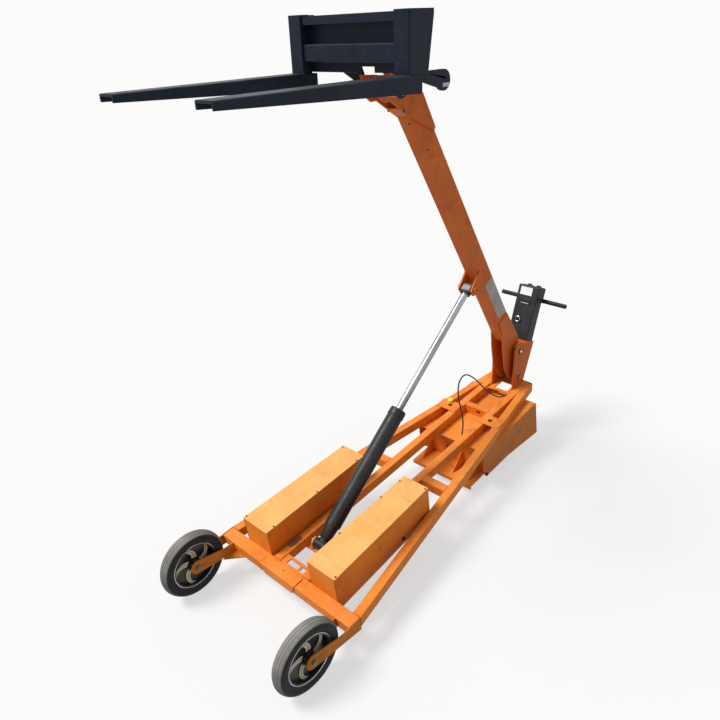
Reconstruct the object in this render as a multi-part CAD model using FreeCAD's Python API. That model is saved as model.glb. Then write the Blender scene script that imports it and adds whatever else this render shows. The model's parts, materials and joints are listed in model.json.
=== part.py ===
"""Electric stacker with one lifting arm, two front wheels and a rear castor.

Millimetres, +Z up. The forks point along -Y and the control bar is at +Y.
The frame slopes down to the front wheels. Its pieces are modelled flat, in chassis
coordinates: z = 0 is the top of the rails and y = 0 the front face of the front beam.
The carriage and the castor are modelled level and are placed at their pivots.
"""
import FreeCAD, Part
import math
import os

from FreeCAD import Placement, Rotation, Vector

# Frame
frame_pitch = 6.0
half_width = 400.0
beam_depth = 60.0
section_height = 50.0
tube_wall = 3.0
rail_width = 40.0
inner_rail_gap = 140.0
frame_length = 1800.0
rear_half_width = 130.0
end_plate_thickness = 6.0
cross_member_depth = 42.0
cross_gap = 130.0
inner_cross_y = 1430.0
inner_cross_depth = 34.0
wiring_hole_radius = 13.0
wiring_hole_x = 16.0
tab_y = 1335.0
tab_depth = 78.0
tab_thickness = 5.0
tab_reach = 66.0
tab_hole_radius = 9.0
patch_left = 130.0
patch_right = 85.0
patch_thickness = 4.0
patch_hole_radius = 6.0
slot_plate_depth = 50.0
slot_plate_thickness = 6.0
slot_plate_drop = 6.0

# Front wheels and their plates
tyre_radius = 152.0
tyre_width = 60.0
tyre_shoulder = 26.0
rim_radius = 106.0
rim_width = 44.0
rim_wall = 10.0
hub_radius = 27.0
hub_width = 66.0
spoke_count = 5
spoke_width = 30.0
spoke_thickness = 16.0
axle_radius = 8.0
axle_y = -188.5
axle_z = 12.2
wheel_plate_thickness = 6.0
wheel_plate_gap = 70.0
wheel_plate_end_radius = 32.0
wheel_plate_drop = 66.0
wheel_plate_bend_y = -40.0
bolt_head_radius = 15.0
bolt_head_height = 9.0
gusset_length = 70.0

# Battery boxes
box_gap = 14.0
box_front_width = 158.0
box_rear_width = 137.0
box_length = 616.0
box_height = 126.0
box_drop = 46.0
box_wall = 3.0
battery_length = 330.0
battery_margin = 12.0

# Rear housing
housing_half_width = 208.0
housing_front_y = 1190.0
housing_setback = 94.0
housing_depth = 174.0
housing_rear_drop = 38.0
housing_sheet = 4.0
tray_front_y = 1096.0
tray_half_width = 188.0
lip_height = 18.0
gusset_height = 95.0
gusset_places = (-150.0, -50.0, 50.0, 150.0)

# Tower, control head and bar
tower_half_width = 70.0
tower_plate = 8.0
tower_web_thickness = 6.0
base_setback = 160.0
head_seat_overhang = 42.0
head_seat_z = 236.0
head_lean = 24.8
head_length = 300.0
head_depth = 72.0
head_half_width = 62.0
clamp_start = 215.0
clamp_end = 294.0
clamp_depth = 26.0
bar_height = 228.0
bar_radius = 12.0
bar_wall = 3.0
bar_half_length = 198.0

# Pivots of the arm, the link and the cylinder, in chassis coordinates
arm_pivot_setback = 48.0
arm_pivot_z = 47.0
link_offset_y = 12.0
link_offset_z = 166.0
cylinder_foot_y = 238.0
cylinder_foot_z = -18.5
pin_radius = 12.0
running_gap = 0.05

# Arm, along and across its own line from the foot pivot
arm_lean = 26.8
arm_half_width = 31.0
arm_front = 41.0
arm_depth = 95.0
arm_wall = 5.0
arm_start = 205.0
arm_end = 1736.0
arm_web_start = 272.0
arm_doubler = 6.0
arm_lowering = 64.7
carriage_pivot_along = 1912.7
carriage_pivot_across = -24.6
eye_along = 777.4
eye_across = -9.0
boss_radius = 24.0
link_height = 28.0
link_half_width = 15.0

# Lifting cylinder
barrel_radius = 37.0
barrel_start = 95.0
barrel_length = 598.0
neck_radius = 21.0
bore_start = 24.5
rod_radius = 17.0
rod_engaged = 24.0
eye_radius = 24.0
eye_half_width = 24.0

# Carriage and forks, from the carriage's lower front edge
carriage_half_width = 275.0
carriage_height = 186.0
upright_width = 62.0
upright_wall = 8.0
side_depth_top = 124.0
side_depth_foot = 96.0
top_bar_height = 26.0
middle_bar_foot = 36.0
middle_bar_top = 93.0
back_plate_y = 45.0
back_plate_thickness = 8.0
bar_front_y = 8.0
cutout_left = 8.0
cutout_width = 80.0
cutout_height = 21.0
pivot_back = 150.0
pivot_drop = 60.0
bracket_gap = 220.0
bracket_foot = 28.0
bracket_thickness = 10.0
fork_length = 750.0
fork_width = 76.0
fork_overhang = 4.0
fork_heel_height = 58.0
fork_tip_height = 24.0
fork_heel_y = 60.0
fork_wall = 6.0
fork_edge_radius = 6.0
fork_seat_drop = 2.0
fork_face_end = -2.0
lug_end_y = 200.0
lug_thickness = 16.0
lug_end_radius = 34.0
lug_hole_radius = 6.0

# Castor
castor_y = 1450.0
castor_radius = 100.0
castor_width = 44.0
castor_trail = 45.0
castor_fork_gap = 52.0
castor_fork_plate = 6.0
castor_plate_size = 116.0
castor_plate_thickness = 6.0
castor_head_radius = 40.0
castor_head_height = 18.0

# Cable loop and cap
cable_radius = 3.5
cable_x = 58.0
gland_radius = 9.0
# The cable's route as (y, z) in chassis coordinates, from the tower's foot to the roof.
cable_route = [(1640, -12), (1590, -2), (1524, 50), (1460, 112), (1404, 186), (1347, 258),
               (1292, 314), (1252, 335), (1216, 324), (1198, 284), (1200, 224), (1216, 150),
               (1231, 80), (1229, 22), (1216, -18), (1212, -40)]
cap_radius = 15.0
cap_height = 20.0
cap_x = -143.0

inner_x = inner_rail_gap / 2
rail_outer_x = inner_x + rail_width
box_rear_y = beam_depth + box_length + 2
outer_cross_y = box_rear_y + cross_gap
housing_rear_y = frame_length - housing_setback
head_seat_y = frame_length + head_seat_overhang
arm_pivot_y = frame_length - arm_pivot_setback
pitch = math.radians(frame_pitch)
lean = math.radians(arm_lean)

# The chassis stands so that the front tyres touch the ground.
ground_drop = tyre_radius - (axle_y * math.sin(pitch) + axle_z * math.cos(pitch))
chassis = Placement(Vector(0, 0, ground_drop), Rotation(Vector(1, 0, 0), frame_pitch))

parts = {}


def block(x0, x1, y0, y1, z0, z1):
    """A box between two corners."""
    return Part.makeBox(x1 - x0, y1 - y0, z1 - z0, Vector(x0, y0, z0))


def side_plate(points, x0, x1):
    """A flat plate with an outline of (y, z) points, between two x values."""
    corners = [Vector(x0, y, z) for y, z in points]
    face = Part.Face(Part.makePolygon(corners + corners[:1]))
    return face.extrude(Vector(x1 - x0, 0, 0))


def plan_plate(points, z0, z1):
    """A flat plate with an outline of (x, y) points, between two heights."""
    corners = [Vector(x, y, z0) for x, y in points]
    face = Part.Face(Part.makePolygon(corners + corners[:1]))
    return face.extrude(Vector(0, 0, z1 - z0))


def pin_across(centre, radius, x0, x1):
    """A round bar along X through a (y, z) centre."""
    return Part.makeCylinder(radius, x1 - x0, Vector(x0, centre[0], centre[1]), Vector(1, 0, 0))


def mirrored(shape):
    """The same shape on the other side of the machine."""
    return shape.mirror(Vector(0, 0, 0), Vector(1, 0, 0))


def both_sides(shape):
    return [shape, mirrored(shape)]


def joined(first, *others):
    return first.fuse(list(others)).removeSplitter()


def tangent_point(point, centre, radius, side):
    """Where a line from a point touches a circle, on its left (1) or right (-1)."""
    dy, dz = centre[0] - point[0], centre[1] - point[1]
    distance = math.hypot(dy, dz)
    angle = math.atan2(dz, dy) + side * math.asin(radius / distance)
    reach = math.sqrt(distance ** 2 - radius ** 2)
    return point[0] + reach * math.cos(angle), point[1] + reach * math.sin(angle)


def add(name, shapes, placement):
    """Keep one node: one solid, or a list of solids that stay apart."""
    if not isinstance(shapes, list):
        shapes = [shapes]
    placed = [shape.transformed(placement.Matrix) for shape in shapes]
    parts[name] = placed[0] if len(placed) == 1 else Part.makeCompound(placed)


def to_world(y, z):
    """A chassis point in the machine's own level frame."""
    point = chassis.multVec(Vector(0, y, z))
    return point.y, point.z


def outer_rail_x(y):
    """The outer face of an outer rail, where it converges towards the tower."""
    share = (y - beam_depth) / (frame_length - beam_depth)
    return half_width + (rear_half_width - half_width) * share


slope = (half_width - rear_half_width) / (frame_length - beam_depth)
rail_cut = rail_width * math.hypot(1, slope)
rail_meet_y = beam_depth + (half_width - rail_cut - rail_outer_x) / slope


def build_rails():
    beam_end = half_width - wheel_plate_thickness
    beam = block(-beam_end, beam_end, 0, beam_depth, -section_height, 0)
    bore = block(-beam_end - 1, beam_end + 1, tube_wall, beam_depth - tube_wall,
                 tube_wall - section_height, -tube_wall)
    add("front_beam", beam.cut(bore), chassis)

    top = block(-patch_left, patch_right, -patch_thickness, beam_depth - 12, 0, patch_thickness)
    taper = 22.0
    front = Part.Face(Part.makePolygon([
        Vector(-patch_left, 0, 0), Vector(patch_right, 0, 0),
        Vector(patch_right - taper, 0, -section_height),
        Vector(taper - patch_left, 0, -section_height), Vector(-patch_left, 0, 0)]))
    front = front.extrude(Vector(0, -patch_thickness, 0))
    hole = Part.makeCylinder(patch_hole_radius, patch_thickness, Vector(-9, beam_depth / 2, 0))
    add("beam_patch", joined(top, front).cut(hole), chassis)

    outline = [(half_width, beam_depth), (rear_half_width, frame_length),
               (rail_outer_x, frame_length), (rail_outer_x, rail_meet_y),
               (half_width - rail_cut, beam_depth)]
    outer = plan_plate(outline, -section_height, 0)
    wall_cut = tube_wall * math.hypot(1, slope)
    hollow_end = rail_meet_y - 40
    hollow = [(half_width - wall_cut, beam_depth),
              (outer_rail_x(hollow_end) - wall_cut, hollow_end),
              (outer_rail_x(hollow_end) - rail_cut + wall_cut, hollow_end),
              (half_width - rail_cut + wall_cut, beam_depth)]
    outer = outer.cut(plan_plate(hollow, tube_wall - section_height, -tube_wall))
    add("outer_rail_left", outer, chassis)
    add("outer_rail_right", mirrored(outer), chassis)

    inner = block(inner_x, rail_outer_x, beam_depth, frame_length, -section_height, 0)
    inner = inner.cut(block(inner_x + tube_wall, rail_outer_x - tube_wall, beam_depth,
                            frame_length, tube_wall - section_height, -tube_wall))
    add("inner_rail_left", inner, chassis)
    add("inner_rail_right", mirrored(inner), chassis)

    cross_rear = outer_cross_y + cross_member_depth
    cross = plan_plate([(rail_outer_x, outer_cross_y),
                        (outer_rail_x(outer_cross_y) - rail_cut, outer_cross_y),
                        (outer_rail_x(cross_rear) - rail_cut, cross_rear),
                        (rail_outer_x, cross_rear)], -section_height, 0)
    inner_cross = block(-inner_x, inner_x, inner_cross_y, inner_cross_y + inner_cross_depth,
                        -section_height, 0)
    wiring_hole = Part.makeCylinder(wiring_hole_radius, inner_cross_depth,
                                    Vector(wiring_hole_x, inner_cross_y, -section_height / 2),
                                    Vector(0, 1, 0))
    add("cross_members", both_sides(cross) + [inner_cross.cut(wiring_hole)], chassis)

    slot_top = -slot_plate_drop
    slotted = block(-inner_x, inner_x, beam_depth, beam_depth + slot_plate_depth,
                    slot_top - slot_plate_thickness, slot_top)
    for x0, x1 in ((-42.0, 22.0), (34.0, 60.0)):
        slotted = slotted.cut(block(x0, x1, beam_depth + 12, beam_depth + 38,
                                    slot_top - slot_plate_thickness, slot_top))
    add("slotted_plate", slotted, chassis)

    cap_half = rear_half_width - 20
    cap = plan_plate([(-rear_half_width, frame_length), (rear_half_width, frame_length),
                      (cap_half, frame_length + end_plate_thickness),
                      (-cap_half, frame_length + end_plate_thickness)], -section_height, 0)
    add("frame_end_plate", cap, chassis)

    middle = rail_outer_x + tab_hole_radius * 2
    tab = block(inner_x + 4, middle + tab_reach, tab_y, tab_y + tab_depth, 0, tab_thickness)
    tab = tab.cut(Part.makeCylinder(tab_hole_radius, tab_thickness,
                                    Vector(middle, tab_y + tab_depth / 2, 0)))
    add("tab_plates", both_sides(tab), chassis)


wheel_x = half_width - wheel_plate_thickness - wheel_plate_gap / 2


def build_wheel_brackets():
    centre = (axle_y, axle_z)
    rear = beam_depth - 2
    bend = (wheel_plate_bend_y, 0)
    foot = (rear, -wheel_plate_drop)
    upper = tangent_point(bend, centre, wheel_plate_end_radius, -1)
    lower = tangent_point(foot, centre, wheel_plate_end_radius, 1)
    outline = [(rear, 0), bend, upper, centre, lower, foot]
    hole = pin_across(centre, axle_radius, 0, half_width)
    outer_x = half_width - wheel_plate_thickness
    outer = joined(side_plate(outline, outer_x, half_width),
                   pin_across(centre, wheel_plate_end_radius, outer_x, half_width)).cut(hole)
    inner_face = outer_x - wheel_plate_gap
    inner_x0 = inner_face - wheel_plate_thickness
    front_outline = [(-patch_thickness, -section_height), (-patch_thickness, 0), bend, upper,
                     centre, lower, (-patch_thickness, lower_edge_z(lower, foot))]
    front_outline = [(0, point[1]) if point[0] == -patch_thickness else point
                     for point in front_outline]
    inner = joined(side_plate(front_outline[1:], inner_x0, inner_face),
                   pin_across(centre, wheel_plate_end_radius, inner_x0, inner_face)).cut(hole)
    gusset = plan_plate([(inner_x0, 0), (inner_x0, -gusset_length), (inner_x0 - gusset_length, 0)],
                        -section_height, wheel_plate_thickness - section_height)
    inner = joined(inner, gusset)
    add("wheel_plates_left", [outer, inner], chassis)
    add("wheel_plates_right", [mirrored(outer), mirrored(inner)], chassis)

    bolt = pin_across(centre, axle_radius, inner_x0, half_width)
    outer_head = pin_across(centre, bolt_head_radius, half_width, half_width + bolt_head_height)
    inner_nut = pin_across(centre, bolt_head_radius, inner_x0 - bolt_head_height, inner_x0)
    add("front_axle_bolts", both_sides(joined(bolt, outer_head, inner_nut)), chassis)


def lower_edge_z(lower, foot):
    """Height of the plate's lower edge where it meets the beam's front face."""
    share = (0 - lower[0]) / (foot[0] - lower[0])
    return lower[1] + (foot[1] - lower[1]) * share


def tyre_solid(radius, width, seat, shoulder):
    """A tyre about the X axis, with a crown and shoulders in flat bands."""
    half = width / 2
    seat_half = half - 6
    crown = radius - shoulder
    inset, rise = 0.38 * shoulder, radius - 0.23 * shoulder
    bulge_x, bulge_z = half - 0.12 * shoulder, crown + 0.45 * shoulder
    right = [(half - inset, rise), (bulge_x, bulge_z), (half, crown), (seat_half, seat)]
    left = [(-x, z) for x, z in reversed(right)]
    points = [Vector(x, 0, z) for x, z in left + [(0, radius)] + right]
    section = Part.Face(Part.makePolygon(points + points[:1]))
    return section.revolve(Vector(0, 0, 0), Vector(1, 0, 0), 360)


def ring(outer, inner, x0, x1):
    """A ring about the X axis."""
    axis = Vector(1, 0, 0)
    body = Part.makeCylinder(outer, x1 - x0, Vector(x0, 0, 0), axis)
    return body.cut(Part.makeCylinder(inner, x1 - x0, Vector(x0, 0, 0), axis))


def polar(radius, degrees, x=0.0):
    angle = math.radians(degrees)
    return Vector(x, radius * math.cos(angle), radius * math.sin(angle))


def curved_spoke():
    """One swept spoke from the hub to the rim, bowed like a blade."""
    x0 = -spoke_thickness / 2
    root, end = hub_radius - 4, rim_radius - rim_wall + 2
    half_root = math.degrees(spoke_width / 2 / root)
    half_end = math.degrees(spoke_width / 2 / end)
    sweep, middle = 42.0, (root + end) / 2
    half_middle = math.degrees(spoke_width * 0.42 / middle)
    edges = [
        Part.Arc(polar(root, -half_root, x0), polar(middle, 10 - half_middle, x0),
                 polar(end, sweep - half_end, x0)).toShape(),
        Part.makeLine(polar(end, sweep - half_end, x0), polar(end, sweep + half_end, x0)),
        Part.Arc(polar(end, sweep + half_end, x0), polar(middle, 10 + half_middle, x0),
                 polar(root, half_root, x0)).toShape(),
        Part.makeLine(polar(root, half_root, x0), polar(root, -half_root, x0))]
    return Part.Face(Part.Wire(edges)).extrude(Vector(spoke_thickness, 0, 0))


def build_front_wheels():
    tyre = tyre_solid(tyre_radius, tyre_width, rim_radius, tyre_shoulder)
    rim_half = rim_width / 2
    barrel = ring(rim_radius, rim_radius - rim_wall, -rim_half, rim_half)
    hub = ring(hub_radius, axle_radius + running_gap, -hub_width / 2, hub_width / 2)
    spoke = curved_spoke()
    spokes = []
    for index in range(spoke_count):
        turned = spoke.copy()
        turned.rotate(Vector(0, 0, 0), Vector(1, 0, 0), 360 / spoke_count * index)
        spokes.append(turned)
    bore = Part.makeCylinder(axle_radius + running_gap, hub_width, Vector(-hub_width / 2, 0, 0),
                             Vector(1, 0, 0))
    rim = barrel.fuse([hub] + spokes).cut(bore).removeSplitter()
    for side, sign in (("left", 1), ("right", -1)):
        spot = chassis.multiply(Placement(Vector(sign * wheel_x, axle_y, axle_z), Rotation()))
        add("front_tyre_" + side, tyre, spot)
        add("front_rim_" + side, rim, spot)


def box_layer(inset, z0, z1):
    """One layer of a battery box, which narrows to the rear between the rails."""
    x0 = rail_outer_x + box_gap + inset
    return plan_plate([(x0, beam_depth + inset),
                       (x0 + box_front_width - 2 * inset, beam_depth + inset),
                       (x0 + box_rear_width - 2 * inset, box_rear_y - inset),
                       (x0, box_rear_y - inset)], z0, z1)


def build_boxes():
    lid_z = box_height - box_wall
    shell = box_layer(0, -box_drop, lid_z).cut(box_layer(box_wall, box_wall - box_drop, lid_z))
    lip = box_layer(box_wall + 0.3, lid_z - 12, lid_z).cut(
        box_layer(2 * box_wall, lid_z - 12, lid_z))
    lid = joined(box_layer(0, lid_z, box_height), lip)
    add("battery_box_left", shell, chassis)
    add("battery_box_right", mirrored(shell), chassis)
    add("box_lids", both_sides(lid), chassis)
    x0 = rail_outer_x + box_gap + battery_margin
    y0 = beam_depth + battery_margin
    battery = block(x0, x0 + box_rear_width - 2 * battery_margin, y0, y0 + battery_length,
                    box_wall - box_drop, lid_z - 2 * battery_margin)
    add("batteries", both_sides(battery), chassis)


def build_housing():
    top = -section_height
    foot = top - housing_depth
    half = housing_half_width
    x0 = half - housing_sheet
    panel = side_plate([(housing_front_y, top), (housing_rear_y, top),
                        (housing_rear_y + 20, foot - housing_rear_drop),
                        (castor_y - 30, foot), (housing_front_y + 40, foot),
                        (housing_front_y, foot + 30)], x0, half)
    add("housing_panels", both_sides(panel), chassis)
    roof = block(-x0, x0, housing_front_y, housing_rear_y, top - housing_sheet, top)
    end_y, end_z = cable_route[-1]
    gland = Part.makeCylinder(gland_radius, end_z - top, Vector(cable_x, end_y, top))
    add("housing_roof", joined(roof, gland), chassis)

    wall_top = top - housing_sheet
    tray_top = foot + housing_sheet
    wall = block(-x0, x0, housing_front_y + 40, housing_front_y + 40 + housing_sheet,
                 tray_top, wall_top)
    gussets = [side_plate([(housing_front_y + 40, tray_top),
                           (housing_front_y + 40, tray_top + gusset_height),
                           (tray_front_y + 30, tray_top)], x - 2, x + 2) for x in gusset_places]
    add("housing_front_wall", joined(wall, *gussets), chassis)
    tray = block(-tray_half_width, tray_half_width, tray_front_y, housing_front_y + 90,
                 foot, tray_top)
    lip = block(-tray_half_width, tray_half_width, tray_front_y, tray_front_y + housing_sheet,
                foot - lip_height, tray_top)
    add("housing_tray", joined(tray, lip), chassis)
    rear = side_plate([(housing_rear_y - 12, wall_top), (housing_rear_y - 8, wall_top),
                       (housing_rear_y + 6, foot), (housing_rear_y + 2, foot)], -x0, x0)
    add("housing_rear_wall", rear, chassis)


head_angle = math.radians(head_lean)
head_up = (math.sin(head_angle), math.cos(head_angle))
head_back = (math.cos(head_angle), -math.sin(head_angle))


def head_point(up, back):
    """A point of the control head, up from its seat and back from its front face."""
    return (head_seat_y + up * head_up[0] + back * head_back[0],
            head_seat_z + up * head_up[1] + back * head_back[1])


arm_pivot = (arm_pivot_y, arm_pivot_z)
link_pivot = (arm_pivot_y + link_offset_y, arm_pivot_z + link_offset_z)


def build_tower():
    seat_front, seat_rear = head_point(0, 0), head_point(0, head_depth)
    # The front edge is given by its distance from the frame's end and its height.
    front_edge = [(145, -section_height), (114, 0), (84, 238), (60, 262)]
    outline = [(frame_length - setback, z) for setback, z in front_edge] + [
               seat_front, seat_rear,
               (frame_length - 1, 0), (frame_length - 2, -section_height)]
    half = tower_half_width
    side = side_plate(outline, half - tower_plate, half)
    for centre in (arm_pivot, link_pivot):
        side = side.cut(pin_across(centre, pin_radius + running_gap, 0, half))
    add("tower_sides", both_sides(side), chassis)

    x1 = half - tower_plate
    web = tower_web_thickness
    rear_low = (frame_length - 2, -section_height)
    rear_mid = (frame_length - 1, 0)
    web_outline = [rear_low, rear_mid, seat_rear, seat_front, head_point(-62, 0),
                   head_point(-62, web), head_point(-web, web), head_point(-web, head_depth - web),
                   (rear_mid[0] - web, 2), (rear_low[0] - web, -section_height)]
    add("tower_web", side_plate(web_outline, -x1, x1), chassis)

    base_top = -slot_plate_drop - 4
    base_front = frame_length - base_setback
    base = block(-x1, x1, base_front, frame_length - 12, base_top - web, base_top)
    base = base.cut(block(-34, 44, base_front + 32, base_front + 105, base_top - web, base_top))
    base = base.cut(Part.makeCylinder(230, web, Vector(0, base_front - 216, base_top - web)))
    side_feet = both_sides(block(x1, inner_x, base_front, base_front + 14, base_top - web, base_top))
    clip_z = cable_route[0][1]
    clip = block(cable_x - 7, cable_x + 7, cable_route[0][0], cable_route[0][0] + 10,
                 clip_z - 6, clip_z + 6)
    add("tower_base", joined(base, clip, *side_feet), chassis)

    pins = []
    for centre in (arm_pivot, link_pivot):
        pin = pin_across(centre, pin_radius, -half, half)
        heads = both_sides(pin_across(centre, pin_radius + 3, half, half + 5))
        pins.append(joined(pin, *heads))
    add("tower_pins", pins, chassis)


def build_head():
    half = head_half_width
    outline = [head_point(0, 0), head_point(head_length - 6, 0), head_point(head_length, 6),
               head_point(head_length, head_depth), head_point(0, head_depth)]
    head = side_plate(outline, -half, half)
    long_edges = [edge for edge in head.Edges
                  if abs((edge.Vertexes[0].Point - edge.Vertexes[-1].Point).Length - head_length) < 8]
    head = head.makeFillet(7, long_edges)
    add("control_head", head, chassis)

    clamp = side_plate([head_point(clamp_start, head_depth), head_point(clamp_end, head_depth),
                        head_point(clamp_end, head_depth + clamp_depth),
                        head_point(clamp_start, head_depth + clamp_depth)], -half + 8, half - 8)
    centre = head_point(bar_height, head_depth + clamp_depth / 2)
    bar = pin_across(centre, bar_radius, -bar_half_length, bar_half_length)
    bar = joined(clamp, bar)
    for hollow in both_sides(pin_across(centre, bar_radius - bar_wall, half, bar_half_length)):
        bar = bar.cut(hollow)
    add("steering_bar", bar, chassis)

    front = Vector(0, -head_back[0], -head_back[1])
    key_y, key_z = head_point(108, 0)
    key = Part.makeCylinder(15, 9, Vector(-18, key_y, key_z), front)
    key_slot = Part.makeCylinder(9, 4, Vector(-18, key_y, key_z) + front * 9, front)
    knobs = []
    upward = Vector(0, head_up[0], head_up[1])
    for x in (-14.0, 40.0):
        knob_y, knob_z = head_point(head_length, 34)
        knobs.append(Part.makeCylinder(12, 9, Vector(x, knob_y, knob_z), upward))
    add("head_controls", [joined(key, key_slot)] + knobs, chassis)


def arm_point(along, across):
    """A point beside the arm's line, in chassis (y, z)."""
    return (arm_pivot_y - along * math.sin(lean) + across * math.cos(lean),
            arm_pivot_z + along * math.cos(lean) + across * math.sin(lean))


carriage_pivot = arm_point(carriage_pivot_along, carriage_pivot_across)
eye_pivot = arm_point(eye_along, eye_across)


def build_arm():
    half = arm_half_width
    rear = arm_front + arm_depth

    def outline(*points):
        return [arm_point(*point) for point in points]

    body = side_plate(outline((arm_start, arm_front), (arm_end, arm_front), (arm_end + 20, rear),
                              (arm_start, rear)), -half, half)
    hollow = side_plate(outline((arm_start - 1, arm_front + arm_wall),
                                (arm_end + 20, arm_front + arm_wall), (arm_end + 20, rear + 1),
                                (arm_start - 1, rear + 1)), arm_wall - half, half - arm_wall)
    open_foot = side_plate(outline((arm_start - 1, arm_front - 1), (arm_web_start, arm_front - 1),
                                   (arm_web_start, arm_front + arm_wall + 1),
                                   (arm_start - 1, arm_front + arm_wall + 1)),
                           arm_wall - half, half - arm_wall)
    add("arm_channel", body.cut(hollow).cut(open_foot), chassis)

    boss_x = tower_half_width - tower_plate - 1
    # The notch at the rear lets the link's foot pin pass as the arm comes down.
    foot_outline = outline((-20, 26), (130, 58), (175, 72), (160, 105), (150, 130), (202, 147),
                           (417, rear - 2), (417, arm_front + 8), (345, arm_front + 6), (262, 6),
                           (125, -44), (30, -38), (-24, -16))
    foot_plate = side_plate(foot_outline, half, half + arm_doubler)
    foot_plate = joined(foot_plate, pin_across(arm_pivot, 30, half, half + arm_doubler))
    boss = pin_across(arm_pivot, boss_radius, half + arm_doubler, boss_x)
    bore = pin_across(arm_pivot, pin_radius + running_gap, 0, boss_x)
    foot = joined(foot_plate, boss).cut(bore)
    add("arm_foot_plates", both_sides(foot), chassis)

    # The plates lap the channel up to a slanted weld, and carry the pivot in front of its line.
    head_outline = outline((1603, rear - 7), (1740, arm_front - 1), (1857, -18), (1872, -44),
                           (1905, -58), (1979, -35), (1929, 33), (1800, 132), (1766, rear + 12),
                           (1613, rear + 7))
    head_plate = side_plate(head_outline, half, half + arm_doubler)
    pivot_boss_x = bracket_gap / 2 - 1
    head_boss = pin_across(carriage_pivot, boss_radius, half + arm_doubler, pivot_boss_x)
    head_side = joined(head_plate, head_boss)
    spacer = pin_across(carriage_pivot, boss_radius, -half, half)
    bore = pin_across(carriage_pivot, pin_radius + running_gap, -pivot_boss_x, pivot_boss_x)
    closing = side_plate(outline((arm_end + 4, arm_front - 2), (1800, 11), (1800, 17),
                                 (arm_end + 4, arm_front + 4)), -half, half)
    head = joined(head_side, mirrored(head_side), spacer, closing).cut(bore)
    add("arm_head", head, chassis)

    ear = side_plate(outline((715, 64), (725, 30), (760, -36), (795, -36), (820, 30), (835, 64)),
                     half, half + 8)
    ear = joined(ear, pin_across(eye_pivot, 24, half, half + 8))
    ear = ear.cut(pin_across(eye_pivot, pin_radius, half, half + 8))
    add("cylinder_ears", both_sides(ear), chassis)
    # The pin stops beside the rod's eye, so that the eye can leave it between the end poses.
    ear_x = half + 8
    eye_pin = joined(pin_across(eye_pivot, pin_radius, eye_half_width + 1.5, ear_x),
                     pin_across(eye_pivot, pin_radius + 5, ear_x, ear_x + 10))
    add("eye_pins", both_sides(eye_pin), chassis)


def build_link():
    far = (carriage_pivot[0] + link_offset_y, carriage_pivot[1] + link_offset_z)
    dy, dz = far[0] - link_pivot[0], far[1] - link_pivot[1]
    length = math.hypot(dy, dz)
    ny, nz = -dz / length * link_height / 2, dy / length * link_height / 2
    outline = [(link_pivot[0] + ny, link_pivot[1] + nz), (far[0] + ny, far[1] + nz),
               (far[0] - ny, far[1] - nz), (link_pivot[0] - ny, link_pivot[1] - nz)]
    bar = side_plate(outline, -link_half_width, link_half_width)
    ends = [pin_across(centre, boss_radius - 2, -link_half_width - 6, link_half_width + 6)
            for centre in (link_pivot, far)]
    link = joined(bar, *ends)
    for centre in (link_pivot, far):
        link = link.cut(pin_across(centre, pin_radius + running_gap, -30, 30))
    add("levelling_link", link, chassis)


cylinder_foot = (cylinder_foot_y, cylinder_foot_z)
cylinder_rise = math.atan2(eye_pivot[1] - cylinder_foot[1], eye_pivot[0] - cylinder_foot[0])
raised_length = math.hypot(eye_pivot[1] - cylinder_foot[1], eye_pivot[0] - cylinder_foot[0])


def build_cylinder():
    direction = Vector(0, math.cos(cylinder_rise), math.sin(cylinder_rise))
    foot = Vector(0, cylinder_foot[0], cylinder_foot[1])

    def round_bar(radius, start, end):
        return Part.makeCylinder(radius, end - start, foot + direction * start, direction)

    barrel_end = barrel_start + barrel_length
    rod_end = barrel_end - rod_engaged
    barrel = round_bar(barrel_radius, barrel_start, barrel_end)
    neck = round_bar(neck_radius, 0, barrel_start + 1)
    barrel = joined(barrel, round_bar(barrel_radius + 2, barrel_end - 34, barrel_end - 6), neck,
                    pin_across(cylinder_foot, boss_radius, -28, 28))
    barrel = barrel.cut(round_bar(rod_radius + running_gap, bore_start, barrel_end))
    barrel = barrel.cut(pin_across(cylinder_foot, pin_radius + running_gap, -30, 30))
    add("cylinder_barrel", barrel, chassis)

    rod = round_bar(rod_radius, rod_end, raised_length - eye_radius + 4)
    collar = round_bar(rod_radius + 7, raised_length - eye_radius - 16,
                       raised_length - eye_radius + 4)
    eye = pin_across(eye_pivot, eye_radius, -eye_half_width, eye_half_width)
    add("cylinder_rod", joined(rod, collar, eye), chassis)

    base = block(-inner_x, inner_x, cylinder_foot_y - 30, cylinder_foot_y + 26,
                 -section_height, 4 - section_height)
    ear_foot = 4 - section_height
    ear = side_plate([(cylinder_foot_y - 26, ear_foot), (cylinder_foot_y - 22, cylinder_foot_z + 8),
                      (cylinder_foot_y - 8, cylinder_foot_z + 22),
                      (cylinder_foot_y + 8, cylinder_foot_z + 22),
                      (cylinder_foot_y + 20, cylinder_foot_z + 8),
                      (cylinder_foot_y + 22, ear_foot)], 34, 42)
    bracket = joined(base, ear, mirrored(ear))
    bracket = bracket.cut(pin_across(cylinder_foot, pin_radius + running_gap, -50, 50))
    add("cylinder_foot_bracket", bracket, chassis)
    foot_pin = joined(pin_across(cylinder_foot, pin_radius, -42, 42),
                      *both_sides(pin_across(cylinder_foot, pin_radius + 4, 42, 48)))
    add("cylinder_foot_pin", foot_pin, chassis)


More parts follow.
